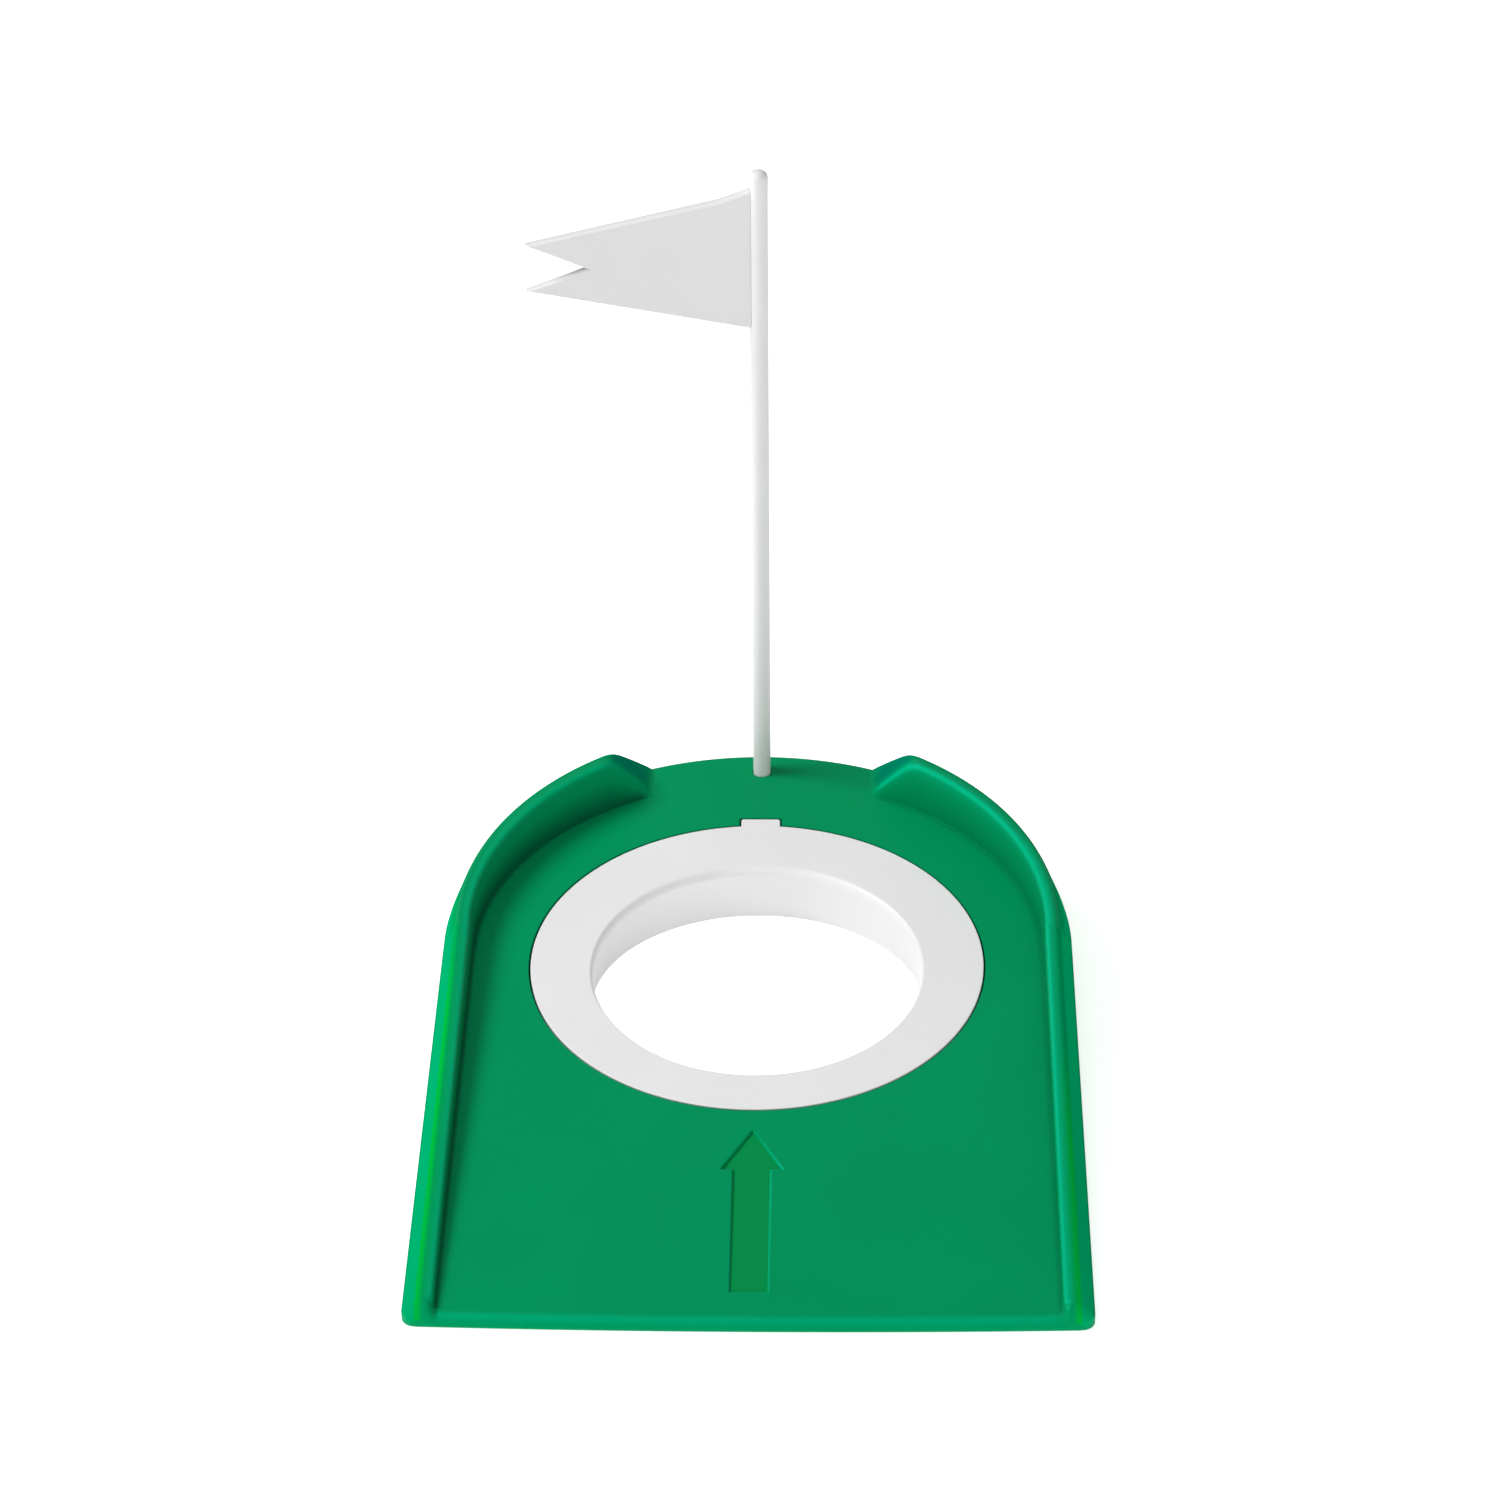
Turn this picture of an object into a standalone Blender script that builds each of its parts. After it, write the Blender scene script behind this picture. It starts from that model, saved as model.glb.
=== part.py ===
"""Practice putting cup: a ramped green base, a loose reducing ring, a flagpole and a pennant.

The base stands on Z = 0 and is centred on X and Y. The ball comes from -Y, up the ramp,
and the flagpole stands behind the hole, towards +Y. All sizes below are in millimetres.
"""
import math

import bmesh
import bpy
from mathutils import Matrix, Vector

MM = 0.001
GAP = 0.3                      # clearance between neighbouring pieces

# Base, overall
BASE_WIDTH = 166.0
BASE_LENGTH = 230.0
FRONT_BOW = 1.4                # how far the middle of the front edge stands forward of its corners
FRONT_CORNER = 3.3             # corner radius in plan
DECK_FRONT = 2.6               # height of the deck at the front edge
DECK_BACK = 21.9               # height of the deck at the back edge
SHELL = 2.4                    # moulded wall thickness, seen from underneath
FRONT_BEVEL = 2.2              # soft slope from the deck down to the front edge

# Side walls that run round the deck
WALL_FOOT = 8.0                # width where the wall meets the deck
WALL_TOP = 4.0                 # width along the top
WALL_LEAN = 0.5                # how far the inner face leans outwards
WALL_FRONT = 2.5               # height above the deck at the front
WALL_BACK = 14.4               # height above the deck at the back
WALL_ROUND = 1.3               # rounding along the top
WALL_ARC_SHIFT = 4.0           # the inner arc's centre lies this far in front of the outer one's
WALL_SINK = 1.2                # how deep the wall's solid is rooted in the deck
WALL_RIM = 0.35                # narrow rim between the wall's outer foot and the base's side
GATE_WIDTH = 61.0              # opening between the two wall ends, at the deck
GATE_SLOPE = 38.5              # angle of the wall ends, in degrees from upright
GATE_ROUND = 7.5               # rounding where a wall end meets the wall's top

# Hole
HOLE_DIAMETER = 108.0          # the bare hole, 4.25 inches
HOLE_FROM_BACK = 92.0          # hole centre to the base's back edge
SKIRT = 2.4                    # tube below the hole
RING_SEAT = 5.5                # width of the ledge that carries the ring

# Reducing ring
RING_NARROWER = 22.0           # how much narrower the ring's bore is than the bare hole
RING_WALL = 2.6                # sleeve thickness
RING_FLANGE = 2.6              # flange thickness
RING_LIP = 1.6                 # rounding of the bore's top edge
RING_FOOT = 0.6                # the sleeve's bottom edge stays this far off the floor
KEY_WIDTH = 10.6
KEY_REACH = 3.0                # how far the key stands out of the flange
KEY_CORNER = 0.7               # its outer corners

# Arrow sunk into the deck
ARROW_DEPTH = 0.8
ARROW_FROM_HOLE = 67.6         # hole centre to the arrow's tip
ARROW_HEAD = 14.4              # length of the head
ARROW_HEAD_WIDTH = 15.0
ARROW_SHAFT_WIDTH = 9.1
ARROW_LENGTH = 59.0

# Flagpole and pennant
POLE_DIAMETER = 4.9
POLE_HEAD = 5.2                # diameter of the domed head
POLE_HEAD_LENGTH = 7.0
POLE_LENGTH = 199.2
POLE_FROM_BACK = 7.3           # pole axis to the base's back edge
SOCKET_WALL = 2.6
SOCKET_FLOOR = 2.9             # thickness under the pole
PENNANT_LENGTH = 58.5          # from the pole's side to the tips
PENNANT_DROP = 6.0             # pole's top to the pennant's upper corner
PENNANT_HEIGHT = 38.7          # along the pole
PENNANT_TIP_RISE = 23.7        # lower corner to the upper tip, in height
PENNANT_TAIL_RISE = 10.6       # lower corner to the lower tip, in height
PENNANT_NOTCH = 16.2           # depth of the swallow tail
PENNANT_THICKNESS = 3.2
PENNANT_EDGE = 1.1             # rounding of the pennant's edges

# Ribs under the deck
RIB = 1.6
RIB_SPREAD = 68.0              # distance between the two long ribs
RIB_FOOT = 0.6                 # the ribs stop this far above the floor

SLOPE = (DECK_BACK - DECK_FRONT) / BASE_LENGTH
HOLE_Y = BASE_LENGTH / 2 - HOLE_FROM_BACK
RING_BORE = HOLE_DIAMETER - RING_NARROWER
POLE_Y = BASE_LENGTH / 2 - POLE_FROM_BACK
SEAT_RADIUS = HOLE_DIAMETER / 2 + RING_SEAT + GAP
FLANGE_RADIUS = HOLE_DIAMETER / 2 + RING_SEAT
OUTER_ARC_Y = BASE_LENGTH / 2 - BASE_WIDTH / 2
HIGH = DECK_BACK + WALL_BACK + 20.0      # above everything on the base
ROUND_STEPS = 96


def deck_z(y):
    """Height of the deck's surface at a distance y along the base."""
    return DECK_FRONT + SLOPE * (y + BASE_LENGTH / 2)


def wall_height(y):
    """Height of the side wall above the deck at a distance y along the base."""
    share = (y + BASE_LENGTH / 2) / BASE_LENGTH
    return WALL_FRONT + (WALL_BACK - WALL_FRONT) * min(max(share, 0.0), 1.0)


# ---------------------------------------------------------------- mesh helpers

def solid(name, bm):
    """Turn a bmesh in millimetres into an object in metres, with its faces pointing out."""
    bmesh.ops.transform(bm, matrix=Matrix.Scale(MM, 4), verts=bm.verts)
    bmesh.ops.recalc_face_normals(bm, faces=bm.faces)
    mesh = bpy.data.meshes.new(name)
    bm.to_mesh(mesh)
    bm.free()
    obj = bpy.data.objects.new(name, mesh)
    bpy.context.scene.collection.objects.link(obj)
    return obj


def prism(outline, low, high):
    """A closed solid over a flat outline of (x, y) points."""
    bm = bmesh.new()
    face = bm.faces.new([bm.verts.new((x, y, low)) for x, y in outline])
    grown = bmesh.ops.extrude_face_region(bm, geom=[face])
    tops = [v for v in grown["geom"] if isinstance(v, bmesh.types.BMVert)]
    bmesh.ops.translate(bm, verts=tops, vec=(0, 0, high - low))
    return bm


def trim_above(bm, offset):
    """Cut away what lies more than offset above the deck's plane, and close the cut."""
    cut_flat(bm, Vector((0, 0, deck_z(0) + offset)), Vector((0, -SLOPE, 1)))


def trim_below(bm, offset):
    """Cut away what lies under a plane that is offset above the deck's plane."""
    cut_flat(bm, Vector((0, 0, deck_z(0) + offset)), Vector((0, SLOPE, -1)))


def cut_flat(bm, point, normal):
    whole = bm.verts[:] + bm.edges[:] + bm.faces[:]
    bmesh.ops.bisect_plane(bm, geom=whole, plane_co=point, plane_no=normal, clear_outer=True)
    bmesh.ops.holes_fill(bm, edges=[e for e in bm.edges if e.is_boundary])


def circle(radius, y, steps=ROUND_STEPS):
    turn = 2 * math.pi / steps
    return [(radius * math.cos(turn * i), y + radius * math.sin(turn * i)) for i in range(steps)]


def keyed_circle(radius, key_half, key_back):
    """A circle round the hole's centre with the key's block standing out at the back."""
    points = [(x, y) for x, y in circle(radius, HOLE_Y) if abs(x) > key_half + 0.6 or y < HOLE_Y]
    root = HOLE_Y + math.sqrt(radius ** 2 - key_half ** 2)
    key = [(key_half, root), (key_half, key_back - KEY_CORNER), (key_half - KEY_CORNER, key_back),
           (-key_half + KEY_CORNER, key_back), (-key_half, key_back - KEY_CORNER), (-key_half, root)]
    first = next(i for i, (x, y) in enumerate(points) if x < 0 and y > HOLE_Y)
    return points[:first] + key + points[first:]


def tube(outer, inner, y, low, high, steps=ROUND_STEPS):
    """An upright tube, from a wall profile spun round its axis."""
    bm = bmesh.new()
    corners = [(inner, low), (outer, low), (outer, high), (inner, high)]
    verts = [bm.verts.new((r, y, z)) for r, z in corners]
    edges = [bm.edges.new((verts[i], verts[(i + 1) % 4])) for i in range(4)]
    bmesh.ops.spin(bm, geom=verts + edges, cent=(0, y, 0), axis=(0, 0, 1),
                   angle=2 * math.pi, steps=steps, use_merge=True)
    return bm


def combine(target, tool, operation):
    """Apply an exact Boolean, remove the tool and merge the points the cut left doubled."""
    modifier = target.modifiers.new(operation.lower(), "BOOLEAN")
    modifier.operation = operation
    modifier.solver = "EXACT"
    modifier.object = tool
    evaluated = target.evaluated_get(bpy.context.evaluated_depsgraph_get())
    mesh = bpy.data.meshes.new_from_object(evaluated)
    target.modifiers.clear()
    old = target.data
    target.data = mesh
    bpy.data.meshes.remove(old)
    bpy.data.objects.remove(tool)
    merge_close(target)


def merge_close(obj):
    bm = bmesh.new()
    bm.from_mesh(obj.data)
    bmesh.ops.remove_doubles(bm, verts=bm.verts, dist=0.003 * MM)
    bmesh.ops.dissolve_degenerate(bm, edges=bm.edges, dist=0.002 * MM)
    bm.to_mesh(obj.data)
    bm.free()


def finish(obj, material):
    """Shade round faces smooth and give the object its material."""
    merge_close(obj)
    obj.data.shade_smooth()
    obj.data.set_sharp_from_angle(angle=math.radians(35))
    obj.data.materials.clear()
    obj.data.materials.append(material)


def plastic(name, color, roughness):
    material = bpy.data.materials.new(name)
    material.use_nodes = True
    shader = material.node_tree.nodes["Principled BSDF"]
    shader.inputs["Base Color"].default_value = (*color, 1.0)
    shader.inputs["Roughness"].default_value = roughness
    shader.inputs["Metallic"].default_value = 0.0
    return material


# ---------------------------------------------------------------- base

def base_outline(inset=0.0):
    """The base in plan: bowed front edge, small front corners, straight sides, round back."""
    half = BASE_WIDTH / 2 - inset
    front = -BASE_LENGTH / 2 + FRONT_BOW + inset
    corner = max(FRONT_CORNER - inset, 0.6)
    points = []
    bow_steps = 16
    for i in range(bow_steps + 1):
        x = (half - corner) * (2 * i / bow_steps - 1)
        points.append((x, front - FRONT_BOW * (1 - (x / half) ** 2)))
    corner_steps = 5
    for i in range(1, corner_steps + 1):
        a = math.radians(-90 + 90 * i / corner_steps)
        points.append((half - corner + corner * math.cos(a), front + corner + corner * math.sin(a)))
    back_steps = 64
    for i in range(back_steps + 1):
        a = math.pi * i / back_steps
        points.append((half * math.cos(a), OUTER_ARC_Y + half * math.sin(a)))
    for i in range(corner_steps):
        a = math.radians(180 + 90 * i / corner_steps)
        points.append((-half + corner + corner * math.cos(a), front + corner + corner * math.sin(a)))
    return points


def deck_slab():
    """The solid wedge under the deck, with its front edge sloped off."""
    bm = prism(base_outline(), 0.0, HIGH)
    trim_above(bm, 0.0)
    middle = -BASE_LENGTH / 2
    lip = 0.7
    normal = Vector((0, -(deck_z(middle) - lip), FRONT_BEVEL))
    front_edges = [e for e in bm.edges
                   if all(v.co.z > 1.0 and v.co.y < middle + FRONT_BOW + 0.4 for v in e.verts)
                   and abs(e.verts[0].co.x - e.verts[1].co.x) > 1.0 and normal.length > 0]
    bmesh.ops.bevel(bm, geom=front_edges, offset=FRONT_BEVEL * 0.75, offset_type="OFFSET",
                    segments=3, profile=0.5, affect="EDGES", material=-1)
    return solid("deck_slab", bm)


def wall_station(angle, y):
    """The wall's inner foot and outer foot in plan, at one place along its run."""
    outer = BASE_WIDTH / 2 - WALL_RIM
    inner = BASE_WIDTH / 2 - WALL_FOOT
    if angle is None:
        return Vector((inner, y)), Vector((outer, y))
    inner_y = OUTER_ARC_Y - WALL_ARC_SHIFT
    out = Vector((outer * math.cos(angle), OUTER_ARC_Y + outer * math.sin(angle)))
    inn = Vector((inner * math.cos(angle), inner_y + inner * math.sin(angle)))
    return inn, out


def wall_section(inn, out, nose=1.0):
    """The wall's cross-section at a station, as 3-D points from the inner to the outer foot."""
    across = out - inn
    full = across.length
    across.normalize()
    height = wall_height((inn.y + out.y) / 2) * nose
    lean = min(WALL_LEAN, height * 0.1)
    rounding = min(WALL_ROUND, height * 0.5)
    crest = WALL_TOP * full / WALL_FOOT
    fall = (full - crest) / height
    shape = [(0.0, -WALL_SINK), (0.0, 0.0), (lean, height - rounding),
             (lean + rounding * 0.3, height - rounding * 0.3), (lean + rounding, height),
             (crest - rounding, height), (crest - rounding * 0.25, height - rounding * 0.25),
             (crest + rounding * fall, height - rounding), (full, 0.0), (full, -WALL_SINK)]
    points = []
    for reach, up in shape:
        place = inn + across * reach
        points.append(Vector((place.x, place.y, deck_z(place.y) + up)))
    return points


def side_walls():
    """The wall as one band round the deck, open at the back between two sloping ends."""
    front = -BASE_LENGTH / 2 + FRONT_BOW
    nose_length = 3.0
    nose_steps = 4
    stations = []
    for i in range(nose_steps):
        t = 1 - i / nose_steps
        share = math.sqrt(max(1 - t * t, 0.03))
        inn, out = wall_station(None, front + 0.3 + nose_length * (1 - t))
        stations.append(wall_section(inn, out, share))
    straight_steps = 12
    start = front + 0.3 + nose_length
    for i in range(straight_steps):
        y = start + (OUTER_ARC_Y - WALL_ARC_SHIFT - start) * i / straight_steps
        inn, out = wall_station(None, y)
        stations.append(wall_section(inn, out))
    arc_steps = 40
    for i in range(arc_steps + 1):
        inn, out = wall_station(math.pi / 2 * i / arc_steps, 0.0)
        stations.append(wall_section(inn, out))

    bm = bmesh.new()
    loops = []
    for points in stations:
        verts = [bm.verts.new(p) for p in points]
        edges = [bm.edges.new((verts[i], verts[(i + 1) % len(verts)])) for i in range(len(verts))]
        loops.append(edges)
    for near, far in zip(loops, loops[1:]):
        bmesh.ops.bridge_loops(bm, edges=near + far)
    bmesh.ops.holes_fill(bm, edges=[e for e in bm.edges if e.is_boundary])
    bmesh.ops.recalc_face_normals(bm, faces=bm.faces)
    gate_cut(bm)
    mirrored = bmesh.ops.duplicate(bm, geom=bm.verts[:] + bm.edges[:] + bm.faces[:])
    copies = [v for v in mirrored["geom"] if isinstance(v, bmesh.types.BMVert)]
    bmesh.ops.scale(bm, vec=(-1, 1, 1), verts=copies)
    flipped = [f for f in mirrored["geom"] if isinstance(f, bmesh.types.BMFace)]
    bmesh.ops.reverse_faces(bm, faces=flipped)
    return solid("side_walls", bm)


def gate_cut(bm):
    """Slope the wall's end off, in a steep cut and a rounded shoulder of shallower ones."""
    foot = GATE_WIDTH / 2
    foot_z = deck_z(OUTER_ARC_Y + 55.0)
    slope = math.radians(GATE_SLOPE)
    rise = WALL_BACK
    shoulder = foot + rise * math.tan(slope)
    cuts = 5
    for i in range(cuts):
        tilt = slope + (math.pi / 2 - slope) * i / cuts
        normal = Vector((-math.cos(tilt), 0, math.sin(tilt)))
        if i == 0:
            point = Vector((foot, 0, foot_z))
        else:
            swing = math.radians(90) - tilt
            point = Vector((shoulder, 0, foot_z + rise)) + shoulder_point(swing, slope)
        cut_flat(bm, point, normal)


def shoulder_point(swing, slope):
    """A point on the round shoulder, measured from the sharp corner that it replaces."""
    full = math.pi / 2 - slope
    reach = GATE_ROUND * math.tan(full / 2)
    centre = Vector((reach, 0, -GATE_ROUND))
    return centre + Vector((-math.sin(swing) * GATE_ROUND, 0, math.cos(swing) * GATE_ROUND))


def wall_core():
    """The hollow that rises into the wall from below, so that the wall is a shell."""
    bm = bmesh.new()
    stations = []
    front = 0.0
    straight_steps = 6
    arc_start = OUTER_ARC_Y - WALL_ARC_SHIFT
    for i in range(straight_steps):
        stations.append(wall_station(None, front + (arc_start - front) * i / straight_steps))
    arc_steps = 24
    last = math.acos((GATE_WIDTH / 2 + WALL_BACK) / (BASE_WIDTH / 2 - WALL_FOOT))
    for i in range(arc_steps + 1):
        stations.append(wall_station(last * i / arc_steps, 0.0))
    loops = []
    for inn, out in stations:
        across = out - inn
        full = across.length
        across.normalize()
        height = wall_height((inn.y + out.y) / 2) * 0.45
        lean_out = (WALL_FOOT - WALL_TOP) * 0.45
        shape = [(SHELL, -SHELL - 1.0), (SHELL, height),
                 (full - lean_out - SHELL, height), (full - SHELL - 0.5, 0.0),
                 (full - SHELL - 0.5, -SHELL - 1.0)]
        verts = []
        for reach, up in shape:
            place = inn + across * reach
            verts.append(bm.verts.new((place.x, place.y, deck_z(place.y) + up)))
        loops.append([bm.edges.new((verts[i], verts[(i + 1) % 5])) for i in range(5)])
    for near, far in zip(loops, loops[1:]):
        bmesh.ops.bridge_loops(bm, edges=near + far)
    bmesh.ops.holes_fill(bm, edges=[e for e in bm.edges if e.is_boundary])
    bmesh.ops.recalc_face_normals(bm, faces=bm.faces)
    mirrored = bmesh.ops.duplicate(bm, geom=bm.verts[:] + bm.edges[:] + bm.faces[:])
    copies = [v for v in mirrored["geom"] if isinstance(v, bmesh.types.BMVert)]
    bmesh.ops.scale(bm, vec=(-1, 1, 1), verts=copies)
    bmesh.ops.reverse_faces(bm, faces=[f for f in mirrored["geom"] if isinstance(f, bmesh.types.BMFace)])
    return solid("wall_core", bm)


def underside_hollow():
    """The space under the deck, inside the outer shell."""
    bm = prism(base_outline(SHELL), -1.0, HIGH)
    trim_above(bm, -SHELL)
    front = -BASE_LENGTH / 2 + FRONT_BOW + 12.0
    cut_flat(bm, Vector((0, front, 0)), Vector((0, -1, 0)))
    return solid("underside_hollow", bm)


def seat_support():
    """The thicker ring of shell that carries the ledge, and the tube below it."""
    bm = tube(SEAT_RADIUS + SHELL, HOLE_DIAMETER / 2 - 2.0, HOLE_Y, 0.0, HIGH)
    trim_above(bm, -1.0)
    trim_below(bm, -RING_FLANGE - GAP - SHELL)
    bmesh.ops.recalc_face_normals(bm, faces=bm.faces)
    return solid("seat_support", bm)


def hole_skirt():
    bm = tube(HOLE_DIAMETER / 2 + SKIRT, HOLE_DIAMETER / 2 - 2.0, HOLE_Y, 0.0, HIGH)
    trim_above(bm, -RING_FLANGE - GAP - 1.0)
    return solid("hole_skirt", bm)


def socket_boss():
    radius = POLE_DIAMETER / 2 + GAP + SOCKET_WALL
    bm = prism(circle(radius, POLE_Y, 32), 0.0, HIGH)
    trim_above(bm, -1.0)
    return solid("socket_boss", bm)


def rib(x, front, back):
    """An upright rib under the deck, along the base."""
    bm = prism([(x - RIB / 2, front), (x + RIB / 2, front), (x + RIB / 2, back), (x - RIB / 2, back)],
               RIB_FOOT, HIGH)
    trim_above(bm, -1.0)
    return solid("rib", bm)


def key_support():
    """The thicker block of shell under the key's notch."""
    half = KEY_WIDTH / 2 + GAP + SHELL
    back = HOLE_Y + FLANGE_RADIUS + KEY_REACH + GAP + SHELL
    near = HOLE_Y + HOLE_DIAMETER / 2 + 1.0
    bm = prism([(-half, near), (half, near), (half, back), (-half, back)], 0.0, HIGH)
    trim_above(bm, -1.3)
    trim_below(bm, -RING_FLANGE - GAP - SHELL + 0.3)
    return solid("key_support", bm)


def ring_cutter():
    """The ring's seat and its key's notch, cut down to the ledge."""
    back = HOLE_Y + FLANGE_RADIUS + KEY_REACH + GAP
    bm = prism(keyed_circle(SEAT_RADIUS, KEY_WIDTH / 2 + GAP, back), 0.0, HIGH)
    trim_below(bm, -RING_FLANGE - GAP)
    return solid("seat_cutter", bm)


def arrow_cutter():
    tip = HOLE_Y - ARROW_FROM_HOLE
    neck = tip - ARROW_HEAD
    tail = tip - ARROW_LENGTH
    head = ARROW_HEAD_WIDTH / 2
    shaft = ARROW_SHAFT_WIDTH / 2
    outline = [(0.0, tip), (-head, neck), (-shaft, neck), (-shaft, tail), (shaft, tail), (shaft, neck),
               (head, neck)]
    bm = prism(outline, 0.0, HIGH)
    trim_below(bm, -ARROW_DEPTH)
    return solid("arrow_cutter", bm)


def putting_base():
    base = deck_slab()
    base.name = "putting_base"
    combine(base, side_walls(), "UNION")
    combine(base, underside_hollow(), "DIFFERENCE")
    combine(base, wall_core(), "DIFFERENCE")
    combine(base, seat_support(), "UNION")
    combine(base, key_support(), "UNION")
    combine(base, hole_skirt(), "UNION")
    combine(base, socket_boss(), "UNION")
    front = -BASE_LENGTH / 2 + FRONT_BOW + 10.0
    for side in (-1, 1):
        reach = math.sqrt((HOLE_DIAMETER / 2 + SKIRT) ** 2 - (RIB_SPREAD / 2) ** 2)
        combine(base, rib(side * RIB_SPREAD / 2, front, HOLE_Y - reach + 1.0), "UNION")
    combine(base, solid("bare_hole", prism(circle(HOLE_DIAMETER / 2, HOLE_Y), -1.0, HIGH)), "DIFFERENCE")
    combine(base, ring_cutter(), "DIFFERENCE")
    combine(base, arrow_cutter(), "DIFFERENCE")
    socket = prism(circle(POLE_DIAMETER / 2 + GAP, POLE_Y, 32), SOCKET_FLOOR, HIGH)
    combine(base, solid("socket", socket), "DIFFERENCE")
    finish(base, plastic("green_plastic", (0.002, 0.26, 0.105), 0.42))
    return base


# ---------------------------------------------------------------- loose pieces

def cup_ring():
    """Flange, key and sleeve, with the bore's top edge rounded."""
    back = HOLE_Y + FLANGE_RADIUS + KEY_REACH
    flange = prism(keyed_circle(FLANGE_RADIUS, KEY_WIDTH / 2, back), 0.0, HIGH)
    trim_above(flange, 0.0)
    trim_below(flange, -RING_FLANGE)
    ring = solid("cup_ring", flange)
    sleeve = prism(circle(RING_BORE / 2 + RING_WALL, HOLE_Y), RING_FOOT, HIGH)
    trim_above(sleeve, -1.0)
    combine(ring, solid("sleeve", sleeve), "UNION")
    bore = prism(circle(RING_BORE / 2, HOLE_Y), -1.0, HIGH)
    combine(ring, solid("bore", bore), "DIFFERENCE")
    bm = bmesh.new()
    bm.from_mesh(ring.data)
    reach = (RING_BORE / 2 + 0.2) * MM
    lip = []
    for edge in bm.edges:
        near = all(math.hypot(v.co.x, v.co.y - HOLE_Y * MM) < reach for v in edge.verts)
        high = all(v.co.z > (deck_z(v.co.y / MM) - 0.1) * MM for v in edge.verts)
        if near and high:
            lip.append(edge)
    bmesh.ops.bevel(bm, geom=lip, offset=RING_LIP * MM, offset_type="OFFSET", segments=4, profile=0.5,
                    affect="EDGES", material=-1)
    bm.to_mesh(ring.data)
    bm.free()
    finish(ring, plastic("white_plastic", (0.82, 0.82, 0.82), 0.45))
    return ring


def flag_pole():
    """A round pole with a domed head, spun from its profile round its own axis."""
    foot = SOCKET_FLOOR + GAP
    top = foot + POLE_LENGTH
    shaft = POLE_DIAMETER / 2
    head = POLE_HEAD / 2
    profile = [(0.0, foot), (shaft - 0.4, foot), (shaft, foot + 0.4), (shaft, top - POLE_HEAD_LENGTH),
               (head, top - POLE_HEAD_LENGTH / 2)]
    dome_steps = 6
    for i in range(dome_steps + 1):
        a = math.pi / 2 * i / dome_steps
        profile.append((head * math.cos(a), top - head * 0.8 * (1 - math.sin(a))))
    profile[-1] = (0.0, top)
    bm = bmesh.new()
    verts = [bm.verts.new((r, 0.0, z)) for r, z in profile]
    edges = [bm.edges.new(pair) for pair in zip(verts, verts[1:])]
    bmesh.ops.spin(bm, geom=verts + edges, cent=(0, 0, 0), axis=(0, 0, 1), angle=2 * math.pi,
                   steps=32, use_merge=True)
    bmesh.ops.remove_doubles(bm, verts=bm.verts, dist=0.001)
    pole = solid("flag_pole", bm)
    pole.location = (0.0, POLE_Y * MM, 0.0)
    finish(pole, plastic("pole_white", (0.84, 0.84, 0.84), 0.4))
    return pole


def pennant():
    """The swallow-tailed plate, its root hollowed to the pole's round side."""
    top = SOCKET_FLOOR + GAP + POLE_LENGTH - PENNANT_DROP
    low = top - PENNANT_HEIGHT
    tip = -POLE_DIAMETER / 2 - PENNANT_LENGTH
    notch_z = low + (PENNANT_TIP_RISE + PENNANT_TAIL_RISE) / 2
    outline = [(-0.5, top), (tip, low + PENNANT_TIP_RISE), (tip + PENNANT_NOTCH, notch_z),
               (tip, low + PENNANT_TAIL_RISE), (-0.5, low)]
    bm = bmesh.new()
    face = bm.faces.new([bm.verts.new((x, -PENNANT_THICKNESS / 2, z)) for x, z in outline])
    grown = bmesh.ops.extrude_face_region(bm, geom=[face])
    moved = [v for v in grown["geom"] if isinstance(v, bmesh.types.BMVert)]
    bmesh.ops.translate(bm, verts=moved, vec=(0, PENNANT_THICKNESS, 0))
    rims = [e for e in bm.edges
            if abs(e.verts[0].co.y - e.verts[1].co.y) < 0.001
            and not all(v.co.x > -1.0 for v in e.verts)]
    bmesh.ops.bevel(bm, geom=rims, offset=PENNANT_EDGE, offset_type="OFFSET", segments=3, profile=0.5,
                    affect="EDGES", material=-1)
    plate = solid("pennant", bm)
    room = POLE_DIAMETER / 2 + GAP
    combine(plate, solid("pole_room", prism(circle(room, 0.0, 32), low - 5.0, top + 5.0)), "DIFFERENCE")
    plate.location = (0.0, POLE_Y * MM, 0.0)
    finish(plate, plastic("pennant_white", (0.8, 0.8, 0.8), 0.5))
    return plate


def main():
    for obj in list(bpy.data.objects):
        bpy.data.objects.remove(obj)
    putting_base()
    cup_ring()
    flag_pole()
    pennant()


main()
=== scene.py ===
# %% [markdown]
# # A putting cup in moulded plastic
# The object is a green ramp with a raised wall, a loose white ring in its hole, a white pole and a
# swallow-tailed pennant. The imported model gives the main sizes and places, and it is loaded first, so
# that each detailed piece can be built straight onto it.

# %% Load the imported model
import math

import bmesh
import bpy
from mathutils import Matrix, Vector


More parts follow.
